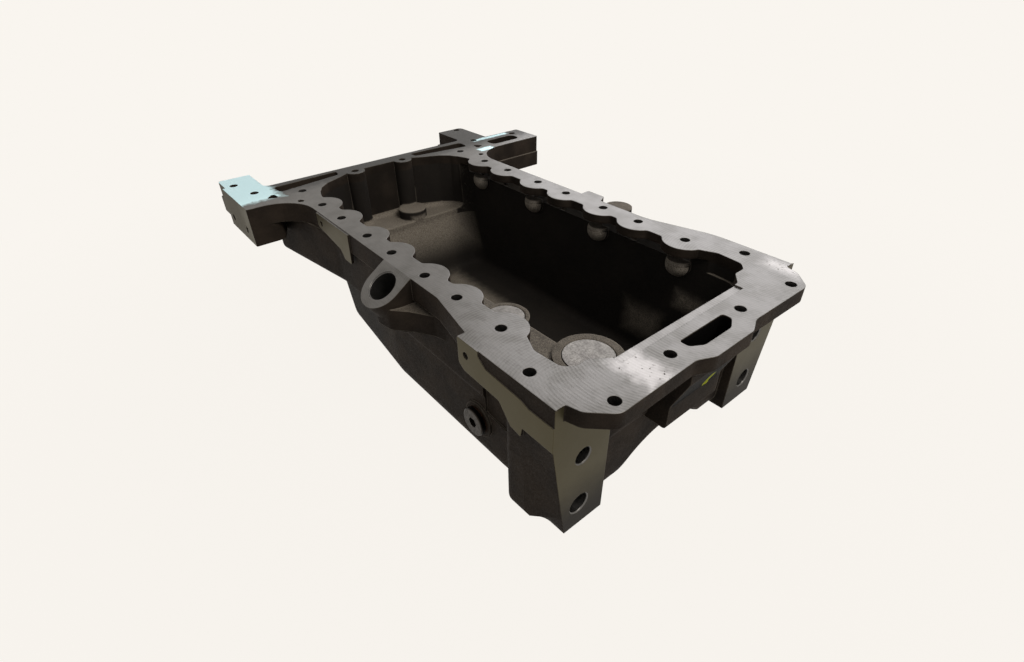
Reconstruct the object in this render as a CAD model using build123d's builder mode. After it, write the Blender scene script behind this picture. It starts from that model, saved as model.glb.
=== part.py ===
# Structural cast-iron engine oil pan for a four-cylinder diesel.
# Millimetres. The joint face with the crankcase is z = 0, +X is the front, -Y the left side, +Z up.
from math import cos, radians, sin
import os

from build123d import *

os.makedirs("parts", exist_ok=True)

# Crankcase bolt pattern, blind tapped holes in the joint face
row_half = 125.0  # half the distance between the two bolt rows
bore_pitch = 116.0
bolt_gap = 53.0  # between the two bolts at each main bearing
bolt_r = 5.2
bolt_depth = 22.0
rear_bolt_x = -235.5
rear_mid_bolt = (-261.0, 38.0)
front_bolt = (231.5, row_half + 19.5)
tip_bolt = (292.5, row_half - 4.5)
front_mid_bolt = (285.0, 48.7)

# Joint flange
flange_t = 24.0
x_rear = -283.5
x_front = 304.0
y_side = row_half + 13.5
y_lug = row_half + 34.0  # machined outer faces of the front corners
y_corner = row_half + 24.0  # shoulder behind the rounded front corners
x_lug = 273.5  # machined front faces of the lugs
lip_t = 15.0  # upright part of the front lip, bevelled below
nose = 6.0  # how far the flange swells forward round the slot

# Flywheel-end wings and the right arm
wing_t = 48.5
wing_x0 = -344.0
wing_x1 = -218.0
wing_y = row_half + 77.0
wing_y0 = row_half + 32.0
arm_x0 = -272.0
arm_y = row_half + 143.0
wing_blend = 47.0
wing_hole_z = -33.5
wing_step = 3.5  # how far the rear end of the left wing is set in from its side face
wing_step_x = -311.0
wing_low_x = -352.0  # the lower rear ends of the wings stand out behind the flange
wing_low_z0 = -42.0
wing_low_z1 = -22.0
arm_t = 46.0
arm_step = 2.0

# Rim opening and the bolt lobes round it
rim_y = row_half - 11.0
rim_front = 259.5
relief_x = 268.0  # front edge of the shallow relief along the rim
lobe_r = 24.0
mid_lobe_r = 13.5
cusp_r = 6.0
drop_z = -41.0  # lower tips of the bolt bosses that show below the rim
drop_r = 15.0

# Walls
wall = 12.0
floor_t = 11.0
draft = 1.5  # degrees
tub_y = row_half + 9.0
tub_rear = -283.0
tub_z = -89.0
sump_z = -176.0
sump_front = 266.0
sump_left = row_half - 15.0  # left wall at the rear, set in beside the starter
sump_rear_top = -226.0
sump_rear_foot = -194.0
toe_rise = 28.0  # how much the floor climbs towards the front
arch_r = 100.0
arch_tilt = 25.0  # degrees
arch_z = -118.0  # crown of the arch between the lugs, at the front wall
arch_y = 4.0

# Front lugs
lug_y0 = row_half - 29.5
lug_z = -153.0
lug_back = 211.0
lug_heel = 27.0  # length of the heel, before the outer side draws in towards the front face
lug_mid = lug_back + lug_heel
lug_heel_y = row_half + 30.5
lug_toe = row_half + 16.0
lug_right = 4.0  # how much wider the right lug is
lug_knee_z = -39.0
lug_upper_z = -68.0
lug_lower_z = -126.0
lug_upper_r = 8.0
lug_lower_r = 10.0
lug_hole_depth = 42.0

# Front passage
slot_x0 = 279.5
slot_x1 = 295.5
slot_half = 30.0
passage_z = -77.0
passage_x = 287.0
passage_wall = 10.0

# Machined pads and small holes
pad_t = 2.0
side_hole_depth = 16.0
side_holes = [
    (170.0, -y_lug, -14.0, 3.5),
    (-147.0, -y_side - pad_t, -11.5, 3.4),
    (-321.0, -wing_y + wing_step, -30.0, 5.2),
    (-294.0, -wing_y, wing_hole_z, 4.2),
    (-241.5, -wing_y, wing_hole_z, 4.2),
]
wing_bolt = (-269.0, row_half + 50.0)
pocket_depth = 14.0
strip_depth = 0.8
pocket_y = tub_y - 4.5  # back of the shallow wall pocket behind the left lug

# Slanted bore boss on the left
boss_tilt = 34.0
boss_x = 29.0
boss_r = 25.5
boss_hole_r = 15.5
boss_bore_depth = 34.0
boss_pilot_r = 10.5
boss_drop = 21.7  # from the flange edge down the slanted face to the bore axis
boss_foot_z = -64.0
lump_x = 63.0
lump_y = row_half + 21.0
lump_r = 17.0
lump_z = -3.0
bracket_z0 = -50.0
bracket_z1 = -27.0

# Drain
drain_x = 146.0
drain_z = -118.0
drain_pad_y = tub_y + 0.5
drain_pad_r = 19.0
drain_thread_r = 11.0
drain_head_r = 15.0
drain_head_h = 5.0
drain_shank = 15.0
washer_t = 1.5
thread_clear = 0.1
socket_r = 5.8  # corner radius of a 10 mm hexagon
socket_depth = 7.0

# Core plugs in the inner gallery
gallery_z = -24.0
plug_h = 9.0
plug_skin = 2.5
plug_clear = 0.05
plugs = {
    "core_plug_rear": (134.0, -88.5, 18.5, 23.0),  # x, y, plug radius, boss radius
    "core_plug_front": (225.5, -73.0, 23.0, 31.0),
}


def rounded(points):
    """Return a flat face from (x, y, radius) corners, each corner rounded to its radius."""
    face = Sketch() + Polygon(*[(x, y) for x, y, r in points], align=None)
    for x, y, r in points:
        if r > 0:
            corner = face.vertices().sort_by_distance(Vector(x, y, 0))[0]
            face = fillet(corner, r)
    return face


def mirrored(half):
    """Return the corners of a closed outline from the half of it at negative y, first to last."""
    return half + [(x, -y, r) for x, y, r in reversed(half)]


front_corners = [
    (x_lug, -y_corner, 2.0),
    (286.0, -y_corner + 3.5, 12.0),
    (x_front, -row_half - 2.0, 12.0),
    (x_front - 1.5, -40.0, 15.0),
    (x_front + nose, -24.0, 12.0),
    (x_front + nose, 28.0, 12.0),
    (x_front - 1.5, 44.0, 15.0),
    (x_front, row_half + 2.0, 12.0),
    (286.0, y_corner - 3.5, 12.0),
    (x_lug, y_corner, 2.0),
]
front_bar = rounded([
    (240.0, -y_corner, 0.0),
    (x_lug, -y_corner, 0.0),
    *front_corners[1:-1],
    (x_lug, y_corner, 0.0),
    (240.0, y_corner, 0.0),
])
flange_plan = rounded([
    (x_rear, -wing_y0, 8.0),
    (wing_x0, -wing_y0, 2.0),
    (wing_x0, -wing_y + wing_step, 4.0),
    (wing_step_x, -wing_y + wing_step, 0.0),
    (wing_step_x, -wing_y, 0.0),
    (wing_x1, -wing_y, 2.0),
    (wing_x1, -y_side, wing_blend),
    (100.0, -y_side, 20.0),
    (159.5, -y_side - 12.5, 0.0),
    (159.5, -y_lug, 1.0),
    (x_lug, -y_lug, 0.0),
    *front_corners,
    (x_lug, y_lug, 2.0),
    (187.0, y_lug, 90.0),
    (112.0, y_side, 90.0),
    (42.0, y_side, 0.0),
    (35.0, y_side + 13.0, 1.5),
    (9.0, y_side + 13.0, 1.5),
    (9.0, y_side, 0.0),
    (wing_x1, y_side, wing_blend),
    (wing_x1, arm_y, 2.0),
    (arm_x0, arm_y, 3.0),
    (arm_x0, wing_y, 2.0),
    (wing_x0, wing_y, 8.0),
    (wing_x0, wing_y0, 2.0),
    (x_rear, wing_y0, 8.0),
])

flange_low = flange_plan & (Pos(x_lug - 350.0, 0) * Rectangle(700.0, 3.0 * arm_y))

side_bolts = [(k - 1.5) * bore_pitch + d for k in range(3) for d in (0.0, bolt_gap)]
side_bolts.append(1.5 * bore_pitch)

opening = rounded(mirrored([
    (-262.5, -45.0, 6.0),
    (-251.5, -65.0, 12.0),
    (-241.5, -row_half + 37.0, 12.0),
    (-226.5, -row_half + 20.0, 12.0),
    (-201.0, -rim_y, 8.0),
    (191.0, -rim_y, 8.0),
    (214.0, -row_half + 0.5, 10.0),
    (241.0, -row_half + 2.5, 8.0),
    (248.5, -rim_y, 6.0),
    (248.5, -rim_y + 14.0, 6.0),
    (rim_front, -rim_y + 28.0, 8.0),
]))
lobe_xs = side_bolts + [rear_bolt_x]
lobes = Sketch() + [Pos(x, s * row_half) * Circle(lobe_r) for x in lobe_xs for s in (-1, 1)]
lobes += [Pos(rear_mid_bolt[0], s * rear_mid_bolt[1]) * Circle(mid_lobe_r) for s in (-1, 1)]
opening -= lobes
cusps = [v for v in opening.vertices() if abs(abs(v.Y) - rim_y) < 0.01 and -190.0 < v.X < 185.0]
opening = fillet(cusps, cusp_r)

tub_plan = rounded(mirrored([
    (tub_rear, -wing_y0, 10.0),
    (-130.0, -tub_y, 60.0),
    (sump_front - 30.0, -tub_y, 14.0),
    (sump_front, -tub_y + 29.0, 14.0),
]))
tub_hollow_plan = rounded(mirrored([
    (-203.0, -tub_y + wall + 2.0, 8.0),
    (sump_front - 32.0, -tub_y + wall + 2.0, 12.0),
    (sump_front - wall, -tub_y + 34.0, 12.0),
]))
tub_hollow_plan += opening & (Pos(-240.0, 0) * Rectangle(80.0, 2.0 * y_side))

sump_plan = rounded([
    (sump_rear_top - 10.0, -sump_left, 0.0),
    (-16.0, -tub_y, 80.0),
    (sump_front, -tub_y, 38.0),
    (sump_front, tub_y, 38.0),
    (sump_rear_top - 10.0, tub_y, 0.0),
])
toe_x = sump_front + 20.0
sump_side = rounded([
    (sump_rear_top - 4.0, 40.0, 0.0),
    (sump_rear_top, tub_z, 0.0),
    (sump_rear_foot, sump_z, 0.0),
    (195.0, sump_z, 120.0),
    (toe_x, sump_z + toe_rise, 0.0),
    (toe_x, 40.0, 0.0),
])


def arch(crown):
    """Return the tilted cylinder that arches the floor up between the lugs."""
    drop = arch_r / cos(radians(arch_tilt))
    axis = Plane(
        origin=(sump_front, arch_y, crown - drop),
        z_dir=(cos(radians(arch_tilt)), 0, sin(radians(arch_tilt))),
    )
    return axis * Cylinder(arch_r, 240.0)


def shell(inset, lift, corner_r, foot_r):
    """Return the sump block, drawn in by inset, with its floor and side profile raised by lift."""
    plan = offset(sump_plan, amount=-inset) if inset else sump_plan
    side = offset(sump_side, amount=-lift) if lift else sump_side
    block = extrude(Pos(0, 0, -10) * plan, amount=sump_z + lift, taper=draft)
    block &= extrude(Plane.XZ * side, amount=200.0, both=True)
    upright = [e for e in block.edges() if e.center().X < -185.0 and e.length > 50.0]
    block = fillet([e for e in upright if abs(e.tangent_at(0.5).Z) > 0.7], corner_r)
    low = [f for f in block.faces() if f.normal_at().Z < -0.8]
    rims = [e for f in low for e in f.edges()]
    outer = [e for e in rims if sum(e.is_same(other) for other in rims) == 1]
    block = fillet(outer, foot_r)
    return block - arch(arch_z + lift)


sump = shell(0.0, 0.0, 46.0, 26.0)
sump_hollow = shell(wall, floor_t, 20.0, 12.0)

# Shallow tub above the sump
with BuildPart() as tub_hollow:
    with BuildSketch(Plane.XY.offset(-10.0)):
        add(tub_hollow_plan)
    extrude(amount=tub_z + floor_t + 10.0)
    fillet(tub_hollow.faces().sort_by(Axis.Z)[0].edges(), 7.0)


def front_lug(knee, toe):
    """Return a front lug, left side, lofted from its upright heel to a front face with that knee and toe."""
    with BuildPart() as lug:
        for x, upper, lower in (
            (lug_back, lug_heel_y, lug_heel_y),
            (lug_mid, lug_heel_y + 1.0, lug_heel_y - 1.0),
            (x_lug, knee, toe),
        ):
            with BuildSketch(Plane.YZ.offset(x)):
                outer_side = [(-upper, -1.0), (-upper, lug_knee_z), (-lower, lug_z)]
                Polygon(*outer_side, (-lug_y0, lug_z), (-lug_y0, -1.0), align=None)
        loft(ruled=True)
        heel = [e for e in lug.edges() if e.center().Y < -row_half - 5.0 and e.center().X < lug_back + 1.0]
        fillet([e for e in heel if abs(e.tangent_at(0.5).Z) > 0.9], 10.0)
        foot = lug.faces().sort_by(Axis.Z)[0].edges()
        fillet([e for e in foot if e.center().Y < -row_half - 5.0 and e.center().X < lug_mid], 8.0)
    return lug.part


left_lug = front_lug(y_lug, lug_toe)
right_lug = mirror(front_lug(y_lug + lug_right, lug_toe + lug_right), about=Plane.XZ)

bore_face = Plane(
    origin=(boss_x, -y_side - boss_drop * cos(radians(boss_tilt)), -boss_drop * sin(radians(boss_tilt))),
    x_dir=(1, 0, 0),
    z_dir=(0, -sin(radians(boss_tilt)), cos(radians(boss_tilt))),
)

# Slanted bore boss on the left, run down its own axis into the wall, and an upright round one on the right
with BuildPart() as bosses:
    with BuildSketch(bore_face):
        Circle(boss_r)
        with Locations((0.0, boss_drop / 2.0)):
            Rectangle(2.0 * boss_r, boss_drop)
    extrude(amount=-80.0)
    with Locations((lump_x, lump_y, lump_z - 25.0)):
        Cylinder(lump_r, 50.0)
    with Locations((0.0, 0.0, 50.0)):
        Box(700.0, 700.0, 100.0, mode=Mode.SUBTRACT)
    with Locations((0.0, 0.0, -60.0)):
        Box(700.0, 2.0 * (tub_y - 3.0), 200.0, mode=Mode.SUBTRACT)
    with Locations((0.0, 0.0, boss_foot_z - 50.0)):
        Box(700.0, 700.0, 100.0, mode=Mode.SUBTRACT)

# Rounded lower ends of every second bolt boss inside, trimmed flush with the walls
with BuildPart() as drops:
    for x in side_bolts[::2]:
        for s in (-1, 1):
            with Locations((x, s * (row_half - 3.0), drop_z + drop_r)):
                Sphere(drop_r)
    with Locations((0.0, 0.0, -70.0)):
        Box(700.0, 2.0 * (tub_y - 3.0), 100.0, mode=Mode.INTERSECT)

with BuildPart() as oil_pan:
    with BuildSketch():
        add(flange_plan)
    extrude(amount=-lip_t)
    with BuildSketch(Plane.XY.offset(-lip_t)):
        add(flange_low)
    extrude(amount=lip_t - flange_t)
    with BuildSketch(Plane.XY.offset(-lip_t)):
        add(front_bar)
    extrude(amount=lip_t - flange_t, taper=45.0)

    # Tub and sump
    with BuildSketch(Plane.XY.offset(-flange_t)):
        add(tub_plan)
    extrude(amount=tub_z + flange_t)
    fillet(oil_pan.faces().sort_by(Axis.Z)[0].edges(), 10.0)
    add(sump)

    # Wings and arm
    with BuildSketch(Plane.XY.offset(-flange_t)):
        add(rounded([
            (wing_step_x, -wing_y, 0.0),
            (wing_x1, -wing_y, 2.0),
            (wing_x1, -wing_y0 - 8.0, 12.0),
            (-262.0, -wing_y0 + 11.0, 12.0),
            (-262.0, -wing_y0 + 37.0, 0.0),
            (-300.0, -wing_y0 + 37.0, 0.0),
            (wing_step_x, -wing_y0 - 8.0, 5.0),
        ]))
    extrude(amount=flange_t - wing_t)
    with BuildSketch(Plane.XY.offset(-flange_t)):
        add(rounded([
            (arm_x0, arm_y, 3.0),
            (wing_x1 + arm_step, arm_y, 2.0),
            (wing_x1 + arm_step, wing_y0 + 8.0, 12.0),
            (-262.0, wing_y0 - 11.0, 12.0),
            (-262.0, wing_y0 - 37.0, 0.0),
            (-300.0, wing_y0 - 37.0, 0.0),
            (wing_step_x, wing_y0 + 8.0, 5.0),
            (wing_step_x, wing_y, 2.0),
            (arm_x0, wing_y, 0.0),
        ]))
    extrude(amount=flange_t - arm_t)
    for y0, y1 in ((wing_step - wing_y, -wing_y0 - 6.0), (wing_y0, wing_y)):
        with BuildSketch(Plane.XY.offset(wing_low_z0)):
            add(rounded([
                (wing_low_x, y0, 3.0),
                (wing_step_x + 1.0, y0, 0.0),
                (wing_step_x + 1.0, y1, 0.0),
                (wing_low_x, y1, 3.0),
            ]))
        extrude(amount=wing_low_z1 - wing_low_z0)

    # Lugs
    add(left_lug)
    add(right_lug)

    # Slot passage
    with BuildSketch(Plane.XZ.offset(-38.0)):
        add(rounded([
            (sump_front - 4.0, -flange_t + 4.0, 0.0),
            (slot_x1 + 5.0, -flange_t + 4.0, 0.0),
            (slot_x1 + 5.0, -flange_t - 5.0, 6.0),
            (passage_x, -62.0, 12.0),
            (passage_x, tub_z + 1.0, 4.0),
            (sump_front - 4.0, tub_z + 1.0, 0.0),
        ]))
    extrude(amount=74.0)

    # Bore boss and its bracket
    add(bosses.part)
    with BuildSketch(Plane.XY.offset(bracket_z0)):
        add(rounded([
            (boss_x - 22.0, -tub_y + 2.0, 0.0),
            (boss_x - 20.0, -tub_y - 16.0, 14.0),
            (boss_x - 4.0, -tub_y - 34.0, 16.0),
            (boss_x + 21.0, -tub_y - 30.0, 10.0),
            (boss_x + 37.0, -tub_y - 16.0, 10.0),
            (boss_x + 59.0, -tub_y - 3.0, 10.0),
            (boss_x + 81.0, -tub_y + 2.0, 0.0),
        ]))
    extrude(amount=bracket_z1 - bracket_z0)

    # Hollow
    add(sump_hollow, mode=Mode.SUBTRACT)
    add(tub_hollow.part, mode=Mode.SUBTRACT)
    with BuildSketch():
        add(opening)
    extrude(amount=-flange_t, mode=Mode.SUBTRACT)
    add(drops.part)

    # Gallery and core plug bosses
    with BuildSketch(Plane.XY.offset(gallery_z - 4.0)):
        add(rounded([
            (36.0, -tub_y + 8.0, 0.0),
            (36.0, -92.0, 12.0),
            (60.0, -80.0, 20.0),
            (sump_front - 6.0, -76.0, 0.0),
            (sump_front - 6.0, -tub_y + 16.0, 0.0),
            (230.0, -tub_y + 8.0, 0.0),
        ]))
    extrude(amount=-52.0)
    for x, y, r, ring in plugs.values():
        with Locations((x, y, gallery_z - 28.0)):
            Cylinder(ring, 56.0)
    with Locations((-235.0, 31.0, -72.0)):
        Cylinder(20.5, 14.0)

    # Machined pads on the left side
    with BuildSketch(Plane.XZ.offset(y_side - 1.0)):
        add(rounded([
            (-158.0, -1.0, 0.0),
            (-158.0, -18.0, 4.0),
            (-102.0, -28.0, 0.0),
            (-94.0, -38.0, 2.0),
            (-78.0, -38.0, 2.0),
            (-75.0, -1.0, 0.0),
        ]))
    extrude(amount=pad_t + 1.0)
    with BuildSketch(Plane.XZ.offset(tub_y - 4.0)):
        add(rounded([
            (159.5, -1.0, 0.0),
            (159.5, -26.0, 4.0),
            (167.0, -31.0, 4.0),
            (212.0, -33.0, 4.0),
            (226.0, -50.0, 3.0),
            (238.0, -52.0, 1.0),
            (240.0, -42.0, 0.0),
            (x_lug, -42.0, 0.0),
            (x_lug, -1.0, 0.0),
        ]))
    extrude(amount=y_lug - tub_y + 4.0)

    # Strip left as cast along the top of the front pad, and the shallow pocket in the wall behind the lug
    with BuildSketch(Plane.XZ.offset(y_lug - strip_depth)):
        add(rounded([
            (187.0, 1.0, 0.0),
            (187.0, -5.0, 0.0),
            (196.0, -12.0, 4.0),
            (238.0, -14.5, 4.0),
            (247.0, -17.5, 4.0),
            (x_lug + 1.0, -17.5, 0.0),
            (x_lug + 1.0, 1.0, 0.0),
        ]))
    extrude(amount=2.0 * strip_depth, mode=Mode.SUBTRACT)
    with BuildSketch(Plane.XZ.offset(pocket_y)):
        add(rounded([
            (156.0, -40.0, 0.0),
            (156.0, -104.0, 3.0),
            (lug_back, -107.0, 0.0),
            (lug_back, -40.0, 0.0),
        ]))
    extrude(amount=tub_y - pocket_y + 0.5, mode=Mode.SUBTRACT)

    # Drain boss
    with Locations(Location((drain_x, -drain_pad_y + 7.0, drain_z), (90, 0, 0))):
        Cylinder(drain_pad_r, 14.0)

    # Tapped holes of the joint face
    face_holes = [(x, s * row_half) for x in side_bolts + [rear_bolt_x] for s in (-1, 1)]
    for x, y in (rear_mid_bolt, front_bolt, tip_bolt, front_mid_bolt, wing_bolt):
        face_holes += [(x, -y), (x, y)]
    face_holes += [(-314.0, -wing_y + 15.0), (-337.0, wing_y - 13.0), (-258.5, arm_y - 21.0)]
    with Locations(*[(x, y, -bolt_depth / 2.0) for x, y in face_holes]):
        Cylinder(bolt_r, bolt_depth, mode=Mode.SUBTRACT)

    # Lug holes
    for z, r in ((lug_upper_z, lug_upper_r), (lug_lower_z, lug_lower_r)):
        for s in (-1, 1):
            with Locations(Location((x_lug - lug_hole_depth / 2.0, s * row_half, z), (0, 90, 0))):
                Cylinder(r, lug_hole_depth, mode=Mode.SUBTRACT)
            with Locations(Location((x_lug - 0.5, s * row_half, z), (0, 90, 0))):
                Cone(r, r + 1.0, 1.0, mode=Mode.SUBTRACT)

    # Small tapped holes in the side pads and wings
    for x, y, z, r in side_holes:
        with Locations(Location((x, y + side_hole_depth / 2.0, z), (90, 0, 0))):
            Cylinder(r, side_hole_depth, mode=Mode.SUBTRACT)

    # Slot and its passage down into the sump
    with BuildSketch():
        add(rounded([
            (slot_x0, -slot_half, 3.0),
            (slot_x0 + 9.0, -slot_half, 5.0),
            (slot_x1, -slot_half + 12.0, 10.0),
            (slot_x1, slot_half - 12.0, 10.0),
            (slot_x0 + 9.0, slot_half, 5.0),
            (slot_x0, slot_half, 3.0),
        ]))
    extrude(amount=-flange_t, mode=Mode.SUBTRACT)
    with BuildSketch(Plane.XZ.offset(-slot_half + 3.0)):
        add(rounded([
            (slot_x0, -flange_t + 1.0, 0.0),
            (slot_x1 - 4.0, -flange_t + 1.0, 0.0),
            (slot_x1 - 4.0, -flange_t - 6.0, 4.0),
            (passage_x - passage_wall, -62.0, 6.0),
            (passage_x - passage_wall, passage_z, 4.0),
            (sump_front - wall - 6.0, passage_z, 0.0),
            (sump_front - wall - 6.0, passage_z + 24.0, 0.0),
            (slot_x0 - 12.0, passage_z + 24.0, 6.0),
            (slot_x0, -flange_t - 8.0, 4.0),
        ]))
    extrude(amount=2.0 * slot_half - 6.0, mode=Mode.SUBTRACT)

    # Shallow relief along the front of the rim
    with Locations(((rim_front + relief_x) / 2.0, -2.0, -0.75)):
        Box(relief_x - rim_front, 2.0 * (rim_y - 31.0), 1.5, mode=Mode.SUBTRACT)

    # Cast pockets in the flywheel end of the joint face
    with BuildSketch():
        for s in (-1, 1):
            add(rounded([
                (-276.0, s * 60.0, 3.0),
                (-262.0, s * 62.0, 4.0),
                (-250.0, s * (row_half + 23.0), 5.0),
                (-272.0, s * (row_half + 25.0), 5.0),
            ]))
            for a, b, c in (((-250, 33), (-232, 31), (-238, 46)), ((-216, 18), (-198, 9), (-200, 19))):
                add(rounded([(x, s * (row_half + y), 3.0) for x, y in (a, b, c)]))
        add(rounded([
            (-252.0, wing_y - 16.0, 8.0),
            (-230.0, wing_y - 16.0, 8.0),
            (-230.0, arm_y - 28.0, 9.0),
            (-252.0, arm_y - 28.0, 9.0),
        ]))
    extrude(amount=-pocket_depth, mode=Mode.SUBTRACT)

    # Slanted bore, stepped, into the sump
    with BuildSketch(bore_face):
        Circle(boss_hole_r)
    extrude(amount=-boss_bore_depth, mode=Mode.SUBTRACT)
    with BuildSketch(bore_face):
        Circle(boss_pilot_r)
    extrude(amount=-78.0, mode=Mode.SUBTRACT)
    with BuildSketch(bore_face):
        Circle(boss_hole_r + 1.0)
    extrude(amount=-1.0, mode=Mode.SUBTRACT)

    # Core plug bores
    for x, y, r, ring in plugs.values():
        with Locations((x, y, gallery_z - plug_h / 2.0)):
            Cylinder(r + plug_clear, plug_h, mode=Mode.SUBTRACT)
        with Locations((x, y, gallery_z - plug_h - 10.0)):
            Cylinder(r - 4.0, 20.0, mode=Mode.SUBTRACT)
        with Locations((x, y, gallery_z - 0.5)):
            Cone(r + plug_clear, r + plug_clear + 1.0, 1.0, mode=Mode.SUBTRACT)

    # Drain bore
    with Locations(Location((drain_x, -drain_pad_y + 20.0, drain_z), (90, 0, 0))):
        Cylinder(drain_thread_r + thread_clear, 40.0, mode=Mode.SUBTRACT)

# Drain plug: flanged head, hexagon socket, threaded shank shown plain
with BuildPart() as drain_plug:
    head_y = -drain_pad_y - washer_t
    with BuildSketch(Plane.XZ.offset(-head_y)):
        with Locations((drain_x, drain_z)):
            Circle(drain_head_r)
    extrude(amount=drain_head_h)
    rim = drain_plug.faces().sort_by(Axis.Y)[0].edges()
    fillet(rim, 1.5)
    with BuildSketch(Plane.XZ.offset(-head_y)):
        with Locations((drain_x, drain_z)):
            Circle(drain_thread_r)
    extrude(amount=-drain_shank)
    with BuildSketch(Plane.XZ.offset(-head_y + drain_head_h)):
        with Locations((drain_x, drain_z)):
            RegularPolygon(socket_r, 6)
    extrude(amount=-socket_depth, mode=Mode.SUBTRACT)

with BuildPart() as drain_washer:
    with BuildSketch(Plane.XZ.offset(drain_pad_y)):
        with Locations((drain_x, drain_z)):
            Circle(drain_head_r)
            Circle(drain_thread_r + thread_clear, mode=Mode.SUBTRACT)
    extrude(amount=washer_t)

pieces = {"oil_pan": oil_pan.part, "drain_plug": drain_plug.part, "drain_washer": drain_washer.part}

# Cup-shaped core plugs, pressed in flush
for name, (x, y, r, ring) in plugs.items():
    with BuildPart() as cup:
        with Locations((x, y, gallery_z - plug_h / 2.0)):
            Cylinder(r, plug_h)
        with Locations((x, y, gallery_z - plug_h / 2.0 - plug_skin)):
            Cylinder(r - plug_skin, plug_h, mode=Mode.SUBTRACT)
        chamfer(cup.faces().sort_by(Axis.Z)[-1].edges(), 0.6)
    pieces[name] = cup.part

for name, piece in pieces.items():
    piece.label = name
    export_step(piece, f"parts/{name}.step")
    print(name, round(piece.volume / 1000.0), "cm3", piece.bounding_box())
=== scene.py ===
"""Finishes, light and camera for a structural cast-iron engine oil pan with milled faces and core plugs."""

import logging
import math
from collections.abc import Sequence
from dataclasses import dataclass
from enum import Enum

import bpy
from mathutils import Matrix, Vector


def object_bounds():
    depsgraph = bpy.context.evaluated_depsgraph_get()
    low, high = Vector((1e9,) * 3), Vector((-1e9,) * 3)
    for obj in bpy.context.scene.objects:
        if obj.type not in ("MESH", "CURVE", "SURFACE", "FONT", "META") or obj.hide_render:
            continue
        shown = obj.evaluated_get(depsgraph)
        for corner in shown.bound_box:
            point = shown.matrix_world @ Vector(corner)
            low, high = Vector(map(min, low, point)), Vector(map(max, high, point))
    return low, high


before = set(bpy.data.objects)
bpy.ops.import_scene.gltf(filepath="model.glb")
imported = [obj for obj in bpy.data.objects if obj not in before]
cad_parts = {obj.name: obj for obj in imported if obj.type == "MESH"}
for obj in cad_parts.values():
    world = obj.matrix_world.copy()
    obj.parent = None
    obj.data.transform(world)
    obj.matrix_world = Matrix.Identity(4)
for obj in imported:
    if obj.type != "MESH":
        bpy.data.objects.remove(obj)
CAD_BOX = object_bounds()

log = logging.getLogger("oil_pan")
MM = 0.001
PORT_TILT = math.radians(34.0)
Triple = tuple[float, float, float]
Socket = bpy.types.NodeSocket
SMOOTH = {"interpolation_type": "SMOOTHSTEP"}
COLOUR = {"data_type": "RGBA", "out": 2}


def linear(hex_colour: str) -> tuple[float, float, float, float]:
    """Turn an sRGB hex colour into linear RGBA.

    Args:
        hex_colour: A colour such as "#8f8d8a".

    Returns:
        Red, green, blue and alpha, ready for a shader socket.
    """
    parts = [int(hex_colour[i:i + 2], 16) / 255.0 for i in (1, 3, 5)]
    red, green, blue = (p / 12.92 if p <= 0.04045 else ((p + 0.055) / 1.055) ** 2.4 for p in parts)
    return red, green, blue, 1.0


def add_node(
    tree: bpy.types.NodeTree, kind: str, inputs: dict, out: object = 0, **settings: object
) -> Socket | None:
    """Add one shader node, set its options, and set or link its input sockets.

    Args:
        tree: The node tree to add to.
        kind: The node's type name without its ShaderNode prefix.
        inputs: Socket name or number to a value, or to the output socket that feeds it.
        out: Which output to return.
        settings: Attributes of the node itself.

    Returns:
        The chosen output socket, or None for an output node.
    """
    node = tree.nodes.new("ShaderNode" + kind)
    for name, value in settings.items():
        setattr(node, name, value)
    for key, value in inputs.items():
        if isinstance(value, Socket):
            tree.links.new(value, node.inputs[key])
        else:
            node.inputs[key].default_value = value
    return node.outputs[out] if len(node.outputs) else None


class Axis(Enum):
    """Directions that a machined face can look in, or that a bore can run in."""

    UP = (0.0, 0.0, 1.0)
    LEFT = (0.0, -1.0, 0.0)
    FRONT = (1.0, 0.0, 0.0)
    PORT = (0.0, -math.sin(PORT_TILT), math.cos(PORT_TILT))


class Where(Enum):
    """Ways to join masks: where any of them holds, or where all of them do."""

    ANY = "MAXIMUM"
    ALL = "MULTIPLY"


@dataclass(frozen=True)
class Zone:
    """A patch of a surface, as a box in millimetres and the way the surface faces there.

    A facing leaves only faces that look that way, and walls only steep ones. A mirrored patch is drawn on
    the right side and holds on the left one too. The edge wanders by the ragged width, in millimetres, and
    fades over the soft one.
    """

    low: Triple
    high: Triple
    facing: Axis | None = None
    walls: bool = False
    mirrored: bool = False
    ragged: float = 0.0
    soft: float = 0.08


@dataclass(frozen=True)
class Round:
    """A round patch, as a cylinder in millimetres that a box cuts to length."""

    centre: Triple
    axis: Axis
    radius: float
    box: Zone


@dataclass(frozen=True)
class Mottle:
    """Uneven patches of one size, such as sand grain or old oil, and how far they stand up in the bump."""

    size_mm: float
    detail: float = 2.0
    roughness: float = 0.5
    height_mm: float = 0.0

    def at(self, place: Socket) -> dict[str, object]:
        """Return the noise inputs that draw this mottle on the given coordinates."""
        size = 1.0 / (self.size_mm * MM)
        return {"Vector": place, "Scale": size, "Detail": self.detail, "Roughness": self.roughness}


@dataclass(frozen=True)
class Ramp:
    """A change from a low to a high value, while what drives it goes from start to end."""

    start: float
    end: float
    low: float = 0.0
    high: float = 1.0

    def of(self, driver: Socket) -> dict[int, object]:
        """Return the range inputs that make this change follow a socket."""
        return {0: driver, 1: self.start, 2: self.end, 3: self.low, 4: self.high}


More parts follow.
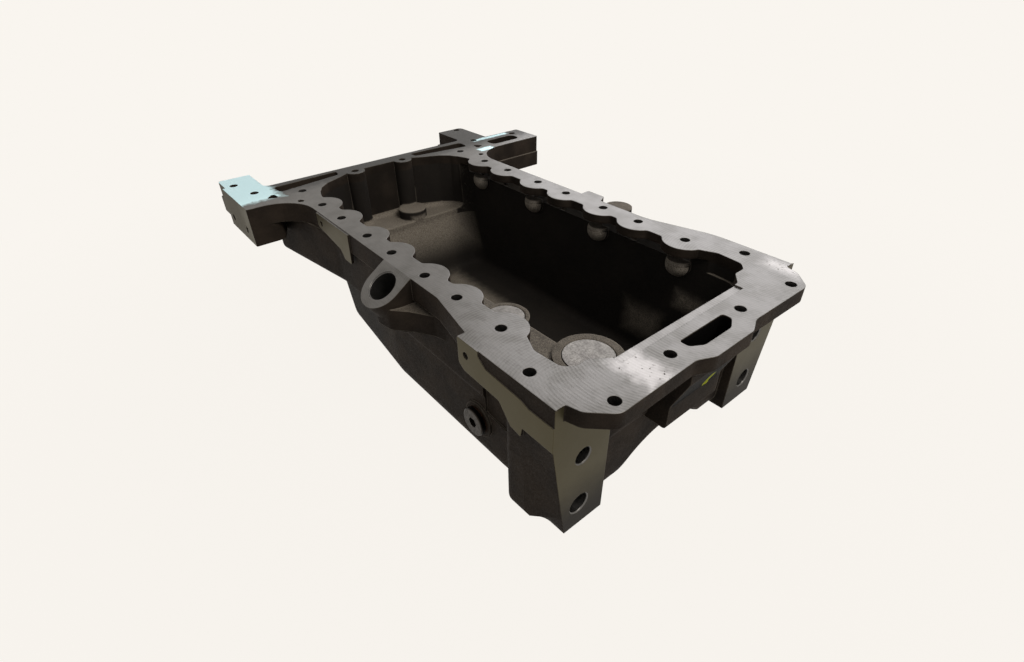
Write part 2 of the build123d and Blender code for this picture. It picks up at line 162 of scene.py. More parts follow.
class Finish:
    """A node material on one object's own coordinates."""

    def __init__(self, name: str) -> None:
        """Start an empty material.

        Args:
            name: What the real material is called.
        """
        self.material = bpy.data.materials.new(name)
        self.material.use_nodes = True
        self.tree = self.material.node_tree
        self.tree.nodes.clear()
        self.place = self.add("TexCoord", {}, "Object")

    def add(self, kind: str, inputs: dict, out: object = 0, **settings: object) -> Socket | None:
        """Add one node to this material, as add_node does."""
        return add_node(self.tree, kind, inputs, out, **settings)

    def coated(self, colour: Socket | tuple, coats: Sequence[tuple[Socket, str]]) -> Socket:
        """Lay coats of colour over another colour, each where its mask says.

        Args:
            colour: The colour below them.
            coats: The mask and the sRGB colour of each coat, the lowest first.

        Returns:
            The colour that shows.
        """
        for mask, coat in coats:
            colour = self.add("Mix", {0: mask, 6: colour, 7: linear(coat)}, **COLOUR)
        return colour

    def close(self, shader: Socket) -> bpy.types.Material:
        """Link the last shader to the surface and return the material."""
        self.add("OutputMaterial", {0: shader})
        return self.material


class PatchedFinish(Finish):
    """A material with masks for patches of its surface, each 1 inside its patch and 0 outside."""

    # A face looks a zone's way within 10 degrees, and a wall stands within 30 degrees of upright
    SAME_WAY = 0.985
    STEEP = 0.5
    WANDER = Mottle(9.0, detail=4.0)

    def __init__(self, name: str) -> None:
        """Start a material with the coordinates that masks are worked out from.

        Args:
            name: What the real material is called.
        """
        super().__init__(name)
        self.normal = self.add("NewGeometry", {}, "True Normal")
        self.axes = self.add("SeparateXYZ", {0: self.place}).node.outputs
        self.turn = self.add("SeparateXYZ", {0: self.normal}).node.outputs
        self.beside = self.add("Math", {0: self.axes[1]}, operation="ABSOLUTE")
        self.folded = self.add("CombineXYZ", {0: self.axes[0], 1: self.beside, 2: self.axes[2]})
        self.wander = self.add("TexNoise", self.WANDER.at(self.place))

    def join(self, how: Where, *masks: Socket) -> Socket:
        """Join several masks into one.

        Args:
            how: Whether any or all of them have to hold.
            masks: The masks.

        Returns:
            The joined mask.
        """
        joined = masks[0]
        for mask in masks[1:]:
            joined = self.add("Math", {0: joined, 1: mask}, operation=how.value)
        return joined

    def box(self, zone: Zone) -> Socket:
        """Build the mask of one box.

        Args:
            zone: The box and the faces in it that count.

        Returns:
            The mask.
        """
        low, high = Vector(zone.low) * MM, Vector(zone.high) * MM
        place = self.folded if zone.mirrored else self.place
        offset = self.add("VectorMath", {0: place, 1: (low + high) / 2.0}, operation="SUBTRACT")
        size = self.add("VectorMath", {0: offset}, operation="ABSOLUTE")
        beyond = self.add("VectorMath", {0: size, 1: (high - low) / 2.0}, operation="SUBTRACT")
        reach = self.join(Where.ANY, *self.add("SeparateXYZ", {0: beyond}).node.outputs)
        if zone.ragged:
            spread = 2.0 * zone.ragged * MM
            wave = self.add("Math", {0: self.wander, 1: spread, 2: -spread / 2.0}, operation="MULTIPLY_ADD")
            reach = self.add("Math", {0: reach, 1: wave}, operation="ADD")
        edge = zone.soft * MM
        mask = self.add("MapRange", Ramp(-edge, edge, 1.0, 0.0).of(reach), **SMOOTH)
        if zone.facing:
            ways = {0: self.normal, 1: zone.facing.value}
            agree = self.add("VectorMath", ways, "Value", operation="DOT_PRODUCT")
            agree = self.add("Math", {0: agree, 1: self.SAME_WAY}, operation="GREATER_THAN")
            mask = self.join(Where.ALL, mask, agree)
        if zone.walls:
            tilt = self.add("Math", {0: self.turn[2]}, operation="ABSOLUTE")
            steep = self.add("Math", {0: tilt, 1: self.STEEP}, operation="LESS_THAN")
            mask = self.join(Where.ALL, mask, steep)
        return mask

    def round(self, patch: Round) -> Socket:
        """Build the mask of one cylinder.

        Args:
            patch: The cylinder.

        Returns:
            The mask.
        """
        place = self.folded if patch.box.mirrored else self.place
        offset = self.add("VectorMath", {0: place, 1: Vector(patch.centre) * MM}, operation="SUBTRACT")
        across = self.add("VectorMath", {0: offset, 1: patch.axis.value}, operation="CROSS_PRODUCT")
        away = self.add("VectorMath", {0: across}, "Value", operation="LENGTH")
        near = self.add("Math", {0: away, 1: patch.radius * MM}, operation="LESS_THAN")
        return self.join(Where.ALL, near, self.box(patch.box))

    def patches(self, patches: Sequence[Zone | Round]) -> Socket:
        """Build the mask of several patches together.

        Args:
            patches: The boxes and cylinders.

        Returns:
            The joined mask.
        """
        masks = [self.box(p) if isinstance(p, Zone) else self.round(p) for p in patches]
        return self.join(Where.ANY, *masks)


@dataclass(frozen=True)
class RawAndMilledIron:
    """Grey cast iron: sand-cast skin all over, and faces cut bare by a face mill.

    The skin is a dull brown-black oxide with a sandy grain, pale in places with settled sand and painted
    light. The cut faces are grey metal with the mill's arcs, fine scratches and patches of old oil, and the
    flywheel end's cut tops carry a painted pale blue-green reflection.
    """

    # Colours of the raw skin, with a pale colour for settled sand and for painted sheen, a paler one for the
    # painted highlight on the hanging bosses, and the painted shade deep in the front slot
    skin: str = "#342d27"
    skin_dark: str = "#231e1a"
    skin_oiled: str = "#252321"
    skin_dust_and_sheen: str = "#8a8277"
    skin_boss_highlight: str = "#a39b90"
    skin_shade: str = "#060505"
    paint: str = "#b4bb2c"

    # Colours of the cut metal, of what lies on it, and of the painted blue-green reflection on the flywheel
    # end
    milled: str = "#666462"
    milled_stained: str = "#5d5b58"
    milled_dark: str = "#383736"
    milled_bright: str = "#8f8c8a"
    side_milled: str = "#494330"
    side_grime: str = "#1f1b16"
    pit: str = "#3a3734"
    painted_reflection: str = "#d2f3f9"

    # How much of what is below these coats cover
    oil_covers: float = 0.8
    paint_covers: float = 0.85
    polish_covers: float = 0.16

    # Sand and scratches are drawn at 1.1 and 0.9 mm, coarser than the real 0.3 and 0.1 mm, so that they show
    sand: Mottle = Mottle(1.1, roughness=0.6, height_mm=0.28)
    scratch: Mottle = Mottle(0.9, roughness=0.7, height_mm=0.035)
    spot: Mottle = Mottle(3.2, height_mm=-0.16)
    clump: Mottle = Mottle(7.0, detail=5.0, roughness=0.6, height_mm=0.45)
    oil: Mottle = Mottle(26.0, detail=6.0, roughness=0.62)
    swelling: Mottle = Mottle(38.0, detail=3.0, height_mm=1.0)
    scratch_turn: float = 0.45
    scratch_stretch: float = 20.0

    # The face mill's path and marks, in millimetres
    mill_r: float = 62.0
    feed: float = 3.1
    feed_height: float = 0.007
    side_lane: float = 130.0
    front_lane: float = 272.0
    lanes_meet: tuple[float, float] = (214.0, 268.0)

    # Edges, in millimetres: cast ones are well rounded, most of all in the sump, and milled ones only broken
    cast_edge: float = 1.8
    sump_edge: float = 5.0
    milled_edge: float = 0.8

    # Shine
    skin_metallic: float = 0.08
    grime_dulls: float = 0.8
    arcs_roughen: float = 0.035
    side_cuts_roughen: float = 0.1
    reflection_smooths: float = 0.06
    specular: float = 0.06

    # Patches that are cut bare, and the bores in them
    TOPS = (
        Zone((-360, -210, -2.2), (320, 280, 1), Axis.UP),
        Zone((-2, -182, -60), (60, -137, 3), Axis.PORT),
    )
    SIDES = (
        Zone((150, -160, -60), (280, -158.6, 1), Axis.LEFT),
        Zone((-160, -141.5, -40), (-70, -140, 1), Axis.LEFT),
        Zone((-360, -203, -50), (-210, -198, 1), Axis.LEFT),
        Zone((273, -165, -154), (274, 165, -1), Axis.FRONT),
    )
    LUGS = Zone((220, -300, -300), (400, 300, 300), mirrored=True)
    HOLES = (
        Zone((-245, 119.4, -23), (185, 130.6, -0.3), walls=True, mirrored=True),
        Zone((225.5, 138.5, -23), (237.5, 150.5, -0.3), walls=True, mirrored=True),
        Zone((286.5, 114.5, -23), (298.5, 126.5, -0.3), walls=True, mirrored=True),
        Zone((279.2, 43, -23), (290.8, 54.4, -0.3), walls=True, mirrored=True),
        Round((0, 125, -68), Axis.FRONT, 9.0, LUGS),
        Round((0, 125, -126), Axis.FRONT, 11.0, LUGS),
        Round((29, -156.49, -12.13), Axis.PORT, 16.8, Zone((0, -170, -60), (60, -110, 3))),
    )

    # Patches of the raw skin: the sump's oiled inside, painted light on its flats and walls, the painted
    # shade deep in the front slot and the dab of paint
    INSIDE = Zone((-262, -126, -185), (262, 126, -12), soft=2.0)
    SUMP = Zone((-262, -112, -185), (262, 118, -45), soft=3.0)
    # Painted light: a pale patch where light falls on the rear slope, and a pale band along the floor's left
    # edge as a painted highlight
    PAINTED_LIGHT_FLATS = (
        Zone((-290, -120, -124), (-128, 110, -20), soft=26.0),
        Zone((-176, 38, -230), (-36, 64, -100), ragged=6.0, soft=15.0),
    )
    # Painted sheen: pale patches where light catches the right wall, and a pale band across the sump at the
    # rear shelf
    PAINTED_SHEEN_WALLS = (
        Zone((-218, -98, -92), (-192, 98, -71.5), soft=3.0),
        Zone((118, 84, -134), (160, 126, -104), ragged=5.0, soft=15.0),
        Zone((180, 84, -76), (214, 126, -60), ragged=4.0, soft=9.0),
    )
    SHADED = Zone((276, -33, -64), (299, 33, -1.5))
    PAINT = Zone((270, 10, -64), (320, 19, -47), ragged=3.0, soft=0.7)

    # The bolt bosses that hang down the right wall, with a painted highlight on their round tips and their
    # stems
    DROPS = (-174.0, -58.0, 58.0, 174.0)
    TIPS = tuple(
        Round((x, 0, -26), Axis.LEFT, 14.5, Zone((x - 20, 96, -44), (x + 20, 126, -24.5))) for x in DROPS
    )
    STEMS = tuple(Zone((x - 12, 96, -25), (x + 12, 124, -12), walls=True, soft=3.0) for x in DROPS)

    # Patches of the cut metal: old oil, polish, clean bright metal, grime at the lugs' feet and the painted
    # blue-green reflection
    OILY = Zone((-400, -300, -60), (-240, 300, 60), ragged=14.0, soft=22.0)
    RELIEF = Zone((259, -104, -2.2), (268.3, 101, -1), Axis.UP)
    BRIGHTS = (
        Zone((262, -92, -60), (302, -66, 60), ragged=12.0, soft=10.0),
        Zone((256, 138, -60), (288, 152, 60), ragged=6.0, soft=10.0),
    )
    LUG_FEET = Zone((150, -300, -300), (400, 300, -112), ragged=8.0, soft=34.0)
    # Painted reflection: pale blue-green patches on the flywheel end's cut tops
    PAINTED_REFLECTIONS = (
        Zone((-400, -260, -60), (-236, -152, 60), ragged=9.0, soft=6.0),
        Zone((-270, 172, -60), (-262, 240, 60), ragged=3.0, soft=3.0),
        Zone((-226, 150, -60), (-214, 176, 60), ragged=3.0, soft=3.0),
    )

    # How the skin follows the mottles, the slope and the height
    MOTTLED = Ramp(0.35, 0.68)
    SPECKLED = Ramp(0.38, 0.62, 0.45, 1.0)
    DUSTY = Ramp(0.30, 0.62, 0.7, 1.0)
    NOT_UNDER = -0.3
    CLIMBS = Ramp(0.02, 0.16)
    # These three make the skin pale on slopes above the sump's floor: partly settled sand, partly painted
    # light where light falls on the slopes
    RISES = Ramp(0.08, 0.55)
    LIES_FLAT = Ramp(0.5, 1.0, 1.0, 0.55)
    ABOVE_FLOOR = Ramp(-150.0 * MM, -95.0 * MM)
    SKIN_ROUGH = Ramp(0.3, 0.7, 0.60, 0.80)
    # Raw edges painted pale: partly wear, partly painted edge highlights
    EDGE_WEAR_AND_HIGHLIGHT = Ramp(0.98, 0.84, 0.0, 0.4)

    # How the cut metal follows them
    STAINED = Ramp(0.40, 0.68)
    BRUSHED = Ramp(0.42, 0.66, 0.0, 0.22)
    GROOVED = Ramp(-0.2, 1.0)
    GROOVES_FADE = Ramp(0.42, 0.62, 0.03, 0.24)
    PITTED = Ramp(0.64, 0.72)
    CORRODED = Ramp(0.0, 0.6, 0.12, 1.0)
    CUT_ROUGH = Ramp(0.3, 0.75, 0.38, 0.42)


class IronSurface(PatchedFinish):
    """The raw and the cut surface of the casting, drawn from the values of its iron."""

    def __init__(self, iron: RawAndMilledIron) -> None:
        """Draw the mottles and masks that the parts of the surface share.

        Args:
            iron: The colours, sizes and patches.
        """
        super().__init__("grey_cast_iron_raw_and_milled")
        self.iron = iron
        self.sand = self.add("TexNoise", iron.sand.at(self.place))
        self.clumps = self.add("TexNoise", iron.clump.at(self.place))
        self.swellings = self.add("TexNoise", iron.swelling.at(self.place))
        self.oil = self.add("TexNoise", iron.oil.at(self.place))
        turn, stretch = (0, 0, iron.scratch_turn), (1.0 / iron.scratch_stretch, 1, 1)
        combed = self.add("Mapping", {"Vector": self.place, "Rotation": turn, "Scale": stretch})
        self.scratches = self.add("TexNoise", iron.scratch.at(combed))

        self.tops = self.patches(iron.TOPS)
        self.sides = self.patches(iron.SIDES)
        self.metal = self.join(Where.ANY, self.tops, self.sides, self.patches(iron.HOLES))
        self.bright = self.patches(iron.BRIGHTS)
        self.oily = self.box(iron.OILY)
        # Painted blue-green reflection on the flywheel end's cut tops
        self.painted_reflection = self.join(Where.ALL, self.patches(iron.PAINTED_REFLECTIONS), self.tops)
        self.feet = self.join(Where.ALL, self.box(iron.LUG_FEET), self.sides)
        self.arcs = self.add("Math", {0: self.mill_arcs(), 1: self.tops}, operation="MULTIPLY")
        spots = self.add("TexNoise", iron.spot.at(self.place))
        pits = self.add("MapRange", iron.PITTED.of(spots), **SMOOTH)
        corroded = self.add("MapRange", iron.CORRODED.of(self.bright), **SMOOTH)
        self.pits = self.join(Where.ALL, pits, corroded)

    def mill_arcs(self) -> Socket:
        """Draw the arcs of a cutter that ran down both sides and then across the front.

        Returns:
            A wave from -1 to 1, one turn for each feed mark.
        """
        iron = self.iron
        lanes = ((self.beside, iron.side_lane, self.axes[0]), (self.axes[0], iron.front_lane, self.axes[1]))
        waves = []
        for across, middle, along in lanes:
            off = self.add("Math", {0: across, 1: middle * MM}, operation="SUBTRACT")
            square = self.add("Math", {0: off, 1: 2.0}, operation="POWER")
            left = self.add("Math", {0: (iron.mill_r * MM) ** 2, 1: square}, operation="SUBTRACT")
            bow = self.add("Math", {0: left, 1: 0.5}, operation="POWER")
            track = self.add("Math", {0: along, 1: bow}, operation="ADD")
            turns = self.add("Math", {0: track, 1: 2.0 * math.pi / (iron.feed * MM)}, operation="MULTIPLY")
            waves.append(self.add("Math", {0: turns}, operation="SINE"))
        start, end = iron.lanes_meet
        front = self.add("MapRange", Ramp(start * MM, end * MM).of(self.axes[0]), **SMOOTH)
        return self.add("Mix", {0: front, 2: waves[0], 3: waves[1]}, data_type="FLOAT")

    def dust_and_sheen(self, inside: Socket, specks: Socket) -> Socket:
        """Build the mask of pale sand and painted light: partly settled sand, partly painted light on slopes
        above the sump's floor, and painted highlights and sheen on some flats and walls of the sump.

        Args:
            inside: The mask of the sump's inside.
            specks: The grain that breaks the sand up.

        Returns:
            The mask.
        """
        iron = self.iron
        lumps = self.add("MapRange", iron.DUSTY.of(self.clumps), **SMOOTH)
        rises = self.add("MapRange", iron.RISES.of(self.turn[2]), **SMOOTH)
        climbs = self.add("MapRange", iron.CLIMBS.of(self.turn[2]), **SMOOTH)
        thinned = self.add("MapRange", iron.LIES_FLAT.of(rises), **SMOOTH)
        above_floor = self.add("MapRange", iron.ABOVE_FLOOR.of(self.axes[2]), **SMOOTH)
        # Slopes: partly settled sand, partly painted light where light falls
        slopes = self.join(Where.ALL, lumps, rises, thinned, above_floor)
        # Painted highlights and sheen on chosen flats and walls of the sump
        lit_flats = self.join(Where.ALL, self.patches(iron.PAINTED_LIGHT_FLATS), climbs)
        walls = self.join(Where.ALL, self.patches(iron.PAINTED_SHEEN_WALLS), inside)
        return self.join(Where.ALL, self.join(Where.ANY, slopes, lit_flats, walls), specks)

    def skin(self) -> Socket:
        """Colour the raw skin: oiled inside, pale with settled sand and painted light, with a painted
        highlight on the hanging bosses and painted shade in the front slot.

        Returns:
            The skin's colour.
        """
        iron = self.iron
        mottled = self.add("MapRange", iron.MOTTLED.of(self.swellings), **SMOOTH)
        not_under = self.add("Math", {0: self.turn[2], 1: iron.NOT_UNDER}, operation="GREATER_THAN")
        inside = self.join(Where.ALL, self.box(iron.INSIDE), not_under)
        oiled = self.add("Math", {0: inside, 1: iron.oil_covers}, operation="MULTIPLY")
        specks = self.add("MapRange", iron.SPECKLED.of(self.sand), **SMOOTH)
        # Painted highlight on the hanging bosses' tips and stems
        lit_bosses = self.join(Where.ALL, self.patches(iron.TIPS + iron.STEMS), specks)
        dab = self.add("Math", {0: self.box(iron.PAINT), 1: iron.paint_covers}, operation="MULTIPLY")
        coats = (
            (mottled, iron.skin),
            (oiled, iron.skin_oiled),
            (self.dust_and_sheen(inside, specks), iron.skin_dust_and_sheen),
            (lit_bosses, iron.skin_boss_highlight),
            (self.box(iron.SHADED), iron.skin_shade),
            (dab, iron.paint),
        )
        return self.coated(linear(iron.skin_dark), coats)

    def cut_metal(self) -> Socket:
        """Colour the cut faces: grey with scratches and arcs, with oil, grime and pits on them, and with a
        painted blue-green reflection.

        Returns:
            The cut metal's colour.
        """
        iron = self.iron
        stained = self.add("MapRange", iron.STAINED.of(self.oil), **SMOOTH)
        brushed = self.add("MapRange", iron.BRUSHED.of(self.scratches), **SMOOTH)
        grooves = self.add("MapRange", iron.GROOVED.of(self.arcs), **SMOOTH)
        fade = self.add("MapRange", iron.GROOVES_FADE.of(self.oil), **SMOOTH)
        polished = self.add("Math", {0: self.box(iron.RELIEF), 1: iron.polish_covers}, operation="MULTIPLY")
        coats = (
            (stained, iron.milled_stained),
            (brushed, iron.milled_dark),
            (self.join(Where.ALL, grooves, fade), iron.milled_dark),
            (self.oily, iron.milled_dark),
            (polished, iron.milled_bright),
            (self.bright, iron.milled_bright),
            (self.sides, iron.side_milled),
            (self.feet, iron.side_grime),
            (self.pits, iron.pit),
            (self.painted_reflection, iron.painted_reflection),
        )
        return self.coated(linear(iron.milled), coats)

    def shine(self) -> dict[str, Socket]:
        """Work out how metallic and how rough the surface is.

        Bare metal mirrors softly, less so where arcs, side cuts or dried oil break the surface up.

        Returns:
            The two inputs of the shader.
        """
        iron = self.iron
        cut = self.add("MapRange", iron.CUT_ROUGH.of(self.oil), **SMOOTH)
        changes = (
            (self.arcs, iron.arcs_roughen),
            (self.sides, iron.side_cuts_roughen),
            (self.painted_reflection, -iron.reflection_smooths),
        )
        for mask, change in changes:
            cut = self.add("Math", {0: mask, 1: change, 2: cut}, operation="MULTIPLY_ADD")
        cast = self.add("MapRange", iron.SKIN_ROUGH.of(self.sand), **SMOOTH)
        roughness = self.add("Mix", {0: self.metal, 2: cast, 3: cut}, data_type="FLOAT")
        metallic = self.add("MapRange", {0: self.metal, 3: iron.skin_metallic, 4: 1.0})
        for mask in (self.feet, self.oily):
            lost = self.add("Math", {0: mask, 1: metallic}, operation="MULTIPLY")
            dulled = {0: lost, 1: -iron.grime_dulls, 2: metallic}
            metallic = self.add("Math", dulled, operation="MULTIPLY_ADD")
        return {"Metallic": metallic, "Roughness": roughness}

    def relief(self) -> Socket:
        """Work out the fine height of the surface.

        Returns:
            The height in millimetres.
        """
        iron = self.iron
        cast = (
            (self.swellings, iron.swelling.height_mm),
            (self.sand, iron.sand.height_mm),
            (self.clumps, iron.clump.height_mm),
        )
        cut = (
            (self.scratches, iron.scratch.height_mm),
            (self.arcs, iron.feed_height),
            (self.pits, iron.spot.height_mm),
        )
        heights = []
        for layers in (cast, cut):
            height = 0.0
            for pattern, rise in layers:
                height = self.add("Math", {0: pattern, 1: rise, 2: height}, operation="MULTIPLY_ADD")
            heights.append(height)
        return self.add("Mix", {0: self.metal, 2: heights[0], 3: heights[1]}, data_type="FLOAT")

    def rounded(self) -> Socket:
        """Round the edges, as far as each surface has them rounded.

        Returns:
            The rounded normal.
        """
        iron = self.iron
        radii = {0: self.box(iron.SUMP), 3: iron.cast_edge * MM, 4: iron.sump_edge * MM}
        cast = self.add("MapRange", radii)
        radius = self.add("Mix", {0: self.metal, 2: cast, 3: iron.milled_edge * MM}, data_type="FLOAT")
        return self.add("Bevel", {"Radius": radius}, samples=8)

    def build(self) -> bpy.types.Material:
        """Make the material, its raw edges painted pale, partly as wear and partly as painted edge
        highlights.

        Returns:
            The finished material.
        """
        iron = self.iron
        rounded = self.rounded()
        # Pale raw edges: partly wear, partly painted edge highlights
        bent = self.add("VectorMath", {0: rounded, 1: self.normal}, "Value", operation="DOT_PRODUCT")
        worn_and_lit_edges = self.add("MapRange", iron.EDGE_WEAR_AND_HIGHLIGHT.of(bent), **SMOOTH)
        raw = self.add("Math", {0: 1.0, 1: self.metal}, operation="SUBTRACT")
        worn_and_lit_edges = self.join(Where.ALL, worn_and_lit_edges, raw)
        colour = self.add("Mix", {0: self.metal, 6: self.skin(), 7: self.cut_metal()}, **COLOUR)
        colour = self.coated(colour, [(worn_and_lit_edges, iron.skin_dust_and_sheen)])
        bump = self.add("Bump", {"Height": self.relief(), "Distance": MM, "Normal": rounded})
        sockets = {"Base Color": colour, "Normal": bump, "Specular IOR Level": iron.specular}
        return self.close(self.add("BsdfPrincipled", sockets | self.shine()))


@dataclass(frozen=True)
class TurnedMetal:
    """Plain steel or copper with a fine turned or drawn surface, thinly oiled, so it shines in soft rings.

    Its rings are drawn 1.3 mm apart, coarser than the real 0.2 mm, so that they show. A piece that sits in an
    opening has dirt in the groove round its rim.
    """

    name: str
    colour: str
    worn: str
    groove: str
    roughness: float
    centre: Triple
    axis: Axis
    rim_r: float | None = None
    ring_mm: float = 1.3
    ring_height_mm: float = 0.012
    edge_mm: float = 0.3

    # Where the dirt inside the rim starts and is thickest, in millimetres, and how much it covers
    dirt_mm: tuple[float, float] = (0.9, 0.2)
    dirt_covers: float = 0.9

    # How much smoother or rougher a smear of oil makes the metal
    smear_smooths: float = 0.06
    smear_roughens: float = 0.12

    BLOTCH = Mottle(8.0, detail=5.0, roughness=0.6)
    SMEAR = Mottle(2.0, detail=3.0, roughness=0.6, height_mm=0.10)
    WORN = Ramp(0.36, 0.66)

    def build(self) -> bpy.types.Material:
        """Make the material, with turning rings round the piece's own axis and dirt in the groove at its rim.

        Returns:
            The finished material.
        """
        f = Finish(self.name)
        offset = f.add("VectorMath", {0: f.place, 1: Vector(self.centre) * MM}, operation="SUBTRACT")
        across = f.add("VectorMath", {0: offset, 1: self.axis.value}, operation="CROSS_PRODUCT")
        away = f.add("VectorMath", {0: across}, "Value", operation="LENGTH")
        turns = f.add("Math", {0: away, 1: 2.0 * math.pi / (self.ring_mm * MM)}, operation="MULTIPLY")
        rings = f.add("Math", {0: turns}, operation="SINE")
        blotches = f.add("TexNoise", self.BLOTCH.at(f.place))
        smears = f.add("TexNoise", self.SMEAR.at(f.place))
        coats = [(f.add("MapRange", self.WORN.of(blotches), **SMOOTH), self.worn)]
        if self.rim_r is not None:
            start, full = ((self.rim_r - inside) * MM for inside in self.dirt_mm)
            dirt = Ramp(start, full, 0.0, self.dirt_covers)
            coats.append((f.add("MapRange", dirt.of(away), **SMOOTH), self.groove))
        colour = f.coated(linear(self.colour), coats)
        smeared = Ramp(0.3, 0.7, self.roughness - self.smear_smooths, self.roughness + self.smear_roughens)
        rough = f.add("MapRange", smeared.of(smears), **SMOOTH)
        height = f.add("Math", {0: smears, 1: self.SMEAR.height_mm}, operation="MULTIPLY")
        height = f.add("Math", {0: rings, 1: self.ring_height_mm, 2: height}, operation="MULTIPLY_ADD")
        rounded = f.add("Bevel", {"Radius": self.edge_mm * MM}, samples=4)
        bump = f.add("Bump", {"Height": height, "Distance": MM, "Normal": rounded})
        sockets = {"Base Color": colour, "Metallic": 1.0, "Roughness": rough, "Normal": bump}
        return f.close(f.add("BsdfPrincipled", sockets))


def dress_node(node: str, material: bpy.types.Material) -> None:
    """Put a material in a CAD node's slot and say so.

    Args:
        node: The node's name.
        material: The material.
    """
    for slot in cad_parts[node].material_slots:
        slot.material = material
    log.info("%s wears %s", node, material.name)


@dataclass
class Casting:
    """The pan itself, one iron casting."""

    node: str = "oil_pan"
    iron: RawAndMilledIron = RawAndMilledIron()

    def dress(self) -> None:
        """Give the casting its material."""
        dress_node(self.node, IronSurface(self.iron).build())


@dataclass
class CorePlugs:
    """The two drawn-steel cups that close the core openings of the inner gallery, in millimetres."""

    rear_centre: Triple = (134.0, -88.5, -24.0)
    front_centre: Triple = (225.5, -73.0, -24.0)
    rear_r: float = 18.5
    front_r: float = 23.0

    def dress(self) -> None:
        """Give both cups their material."""
        cups = {
            "core_plug_rear": (self.rear_centre, self.rear_r),
            "core_plug_front": (self.front_centre, self.front_r),
        }
        for node, (centre, radius) in cups.items():
            name = "drawn_steel_" + node
            steel = TurnedMetal(name, "#66635f", "#55524f", "#1b1816", 0.38, centre, Axis.UP, radius)
            dress_node(node, steel.build())


@dataclass
class Drain:
    """The drain plug and the soft washer under its head, in millimetres."""

    centre: Triple = (146.0, -134.5, -118.0)
    head_r: float = 15.0

    def dress(self) -> None:
        """Give the plug and its washer their materials."""
        about = (self.centre, Axis.LEFT)
        steel = TurnedMetal("blackened_steel", "#35302b", "#282420", "#141211", 0.42, *about, self.head_r)
        copper = TurnedMetal("annealed_copper", "#4a3528", "#382a21", "#261d17", 0.45, *about)
        dress_node("drain_plug", steel.build())
        dress_node("drain_washer", copper.build())


@dataclass(frozen=True)
class SoftBox:
    """One soft studio lamp, in metres and watts."""

    name: str
    place: Triple
    aim: Triple
    size: tuple[float, float]
    watts: float
    tint: str

    def hang(self) -> None:
        """Add the lamp to the scene."""
        data = bpy.data.lights.new(self.name, "AREA")
        data.shape = "RECTANGLE"
        data.size, data.size_y = self.size
        data.energy = self.watts
        data.color = linear(self.tint)[:3]
        lamp = bpy.data.objects.new(self.name, data)
        bpy.context.collection.objects.link(lamp)
        lamp.location = self.place
        lamp.rotation_mode = "QUATERNION"
        lamp.rotation_quaternion = (Vector(self.place) - Vector(self.aim)).to_track_quat("Z", "Y")
        log.info("lamp %s, %.1f W", self.name, self.watts)


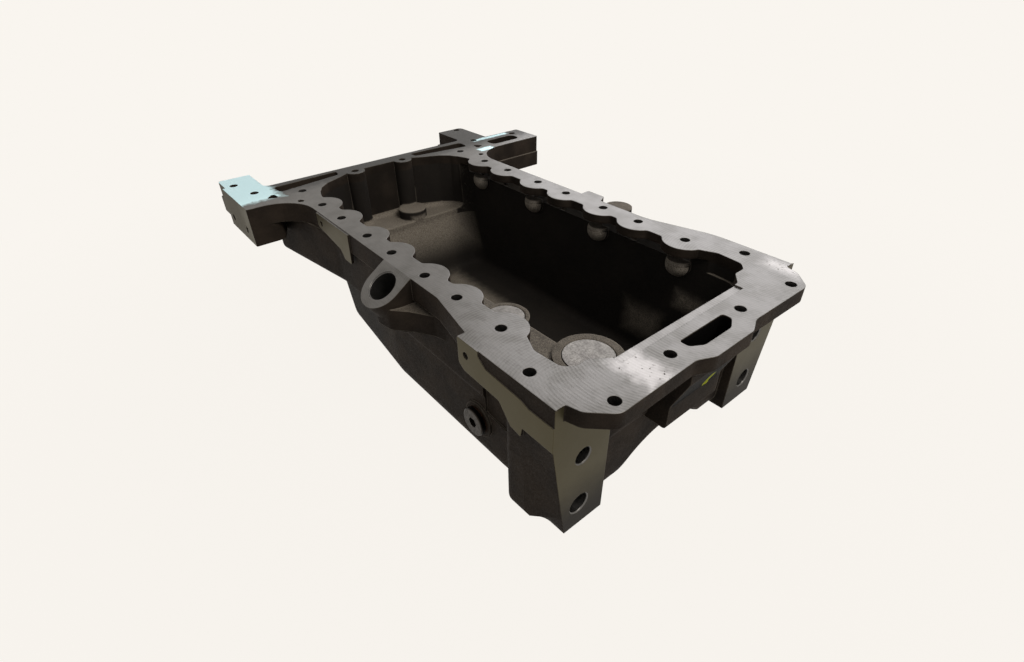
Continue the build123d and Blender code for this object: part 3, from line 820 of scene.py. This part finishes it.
@dataclass
class Studio:
    """Pale floor, soft boxes and the camera at the photograph's place."""

    # Pale background, in metres: matt paper keeps the shadow near the pan and fades out further away
    paper: str = "#f9f5ef"
    matt: str = "#a9a5a0"
    air: str = "#e9e6e2"
    air_light: float = 0.20
    floor_size: float = 60.0
    floor_gap: float = 0.0005

    # The camera's place in millimetres, its angles in degrees and its lens, as fitted to the photograph
    camera_place: Triple = (461.3, -349.4, 254.3)
    azimuth: float = 50.588
    elevation: float = 35.224
    roll: float = -0.731
    lens: float = 19.094
    sensor: float = 36.0
    sees: tuple[float, float] = (0.01, 200.0)

    PAPER_SHOWS = Ramp(0.30, 1.0, 0.97, 1.0)
    LAMPS = (
        SoftBox("key_above_front", (0.95, 0.15, 1.25), (-0.05, 0.0, -0.05), (0.7, 0.7), 17.0, "#fffaf2"),
        SoftBox("back_right", (-0.45, 1.35, 0.95), (0.15, 0.0, 0.0), (1.8, 1.2), 19.0, "#fbfbff"),
        SoftBox("fill_left", (0.5, -1.6, 0.7), (0.0, 0.0, -0.05), (1.2, 0.9), 1.2, "#fff8ee"),
    )

    def pale_rays(self, tree: bpy.types.NodeTree) -> Socket:
        """Pick the rays that see the pale background: the camera's, and those mirrored or let through.

        Args:
            tree: The node tree to add to.

        Returns:
            A socket that is 1 for those rays and 0 for the others.
        """
        kinds = add_node(tree, "LightPath", {}).node.outputs
        both = {0: kinds["Is Camera Ray"], 1: kinds["Is Glossy Ray"]}
        both = add_node(tree, "Math", both, operation="ADD")
        all_three = {0: both, 1: kinds["Is Transmission Ray"]}
        return add_node(tree, "Math", all_three, operation="ADD", use_clamp=True)

    def world(self) -> None:
        """Make the surroundings pale to the eye and in reflections, and dimmer as a light."""
        world = bpy.data.worlds.new("studio_air")
        bpy.context.scene.world = world
        world.use_nodes = True
        tree = world.node_tree
        tree.nodes.clear()
        light = add_node(tree, "Background", {"Color": linear(self.air), "Strength": self.air_light})
        shown = add_node(tree, "Background", {"Color": linear(self.paper), "Strength": 1.0})
        mixed = add_node(tree, "MixShader", {0: self.pale_rays(tree), 1: light, 2: shown})
        add_node(tree, "OutputWorld", {0: mixed})

    def floor(self) -> None:
        """Lay a floor of matt paper under the pan, which fades to the pale background."""
        bpy.ops.object.select_all(action="DESELECT")
        height = CAD_BOX[0][2] - self.floor_gap
        bpy.ops.mesh.primitive_plane_add(size=self.floor_size, location=(0, 0, height))
        floor = bpy.context.object
        floor.name = "studio_floor"
        bpy.ops.object.transform_apply(location=True)
        f = Finish("matt_paper")
        away = f.add("VectorMath", {0: f.place}, "Value", operation="LENGTH")
        share = f.add("MapRange", self.PAPER_SHOWS.of(away), **SMOOTH)
        share = f.add("Math", {0: self.pale_rays(f.tree), 1: share}, operation="MULTIPLY")
        matt = f.add("BsdfDiffuse", {"Color": linear(self.matt)})
        glow = f.add("Emission", {"Color": linear(self.paper), "Strength": 1.0})
        floor.data.materials.append(f.close(f.add("MixShader", {0: share, 1: matt, 2: glow})))

    def camera(self) -> None:
        """Set the camera where the photograph was taken from."""
        a, e, r = (math.radians(v) for v in (self.azimuth, self.elevation, self.roll))
        back = Vector((math.sin(a) * math.cos(e), -math.cos(a) * math.cos(e), math.sin(e)))
        side = Vector((math.cos(a), math.sin(a), 0.0))
        rise = back.cross(side)
        right = side * math.cos(r) + rise * math.sin(r)
        up = rise * math.cos(r) - side * math.sin(r)
        data = bpy.data.cameras.new("view")
        data.sensor_width = self.sensor
        data.lens = self.lens
        data.clip_start, data.clip_end = self.sees
        camera = bpy.data.objects.new("view", data)
        bpy.context.collection.objects.link(camera)
        turn = Matrix((right, up, back)).transposed().to_4x4()
        camera.matrix_world = Matrix.Translation(Vector(self.camera_place) * MM) @ turn
        bpy.context.scene.camera = camera

    def build(self) -> None:
        """Set up the whole studio."""
        self.world()
        self.floor()
        for lamp in self.LAMPS:
            lamp.hang()
        self.camera()
        bpy.context.scene.view_settings.view_transform = "Standard"


def main() -> None:
    """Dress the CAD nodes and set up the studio."""
    logging.basicConfig(level=logging.INFO, format="%(message)s")
    for part in (Casting(), CorePlugs(), Drain()):
        part.dress()
    Studio().build()


if __name__ == "__main__":
    main()
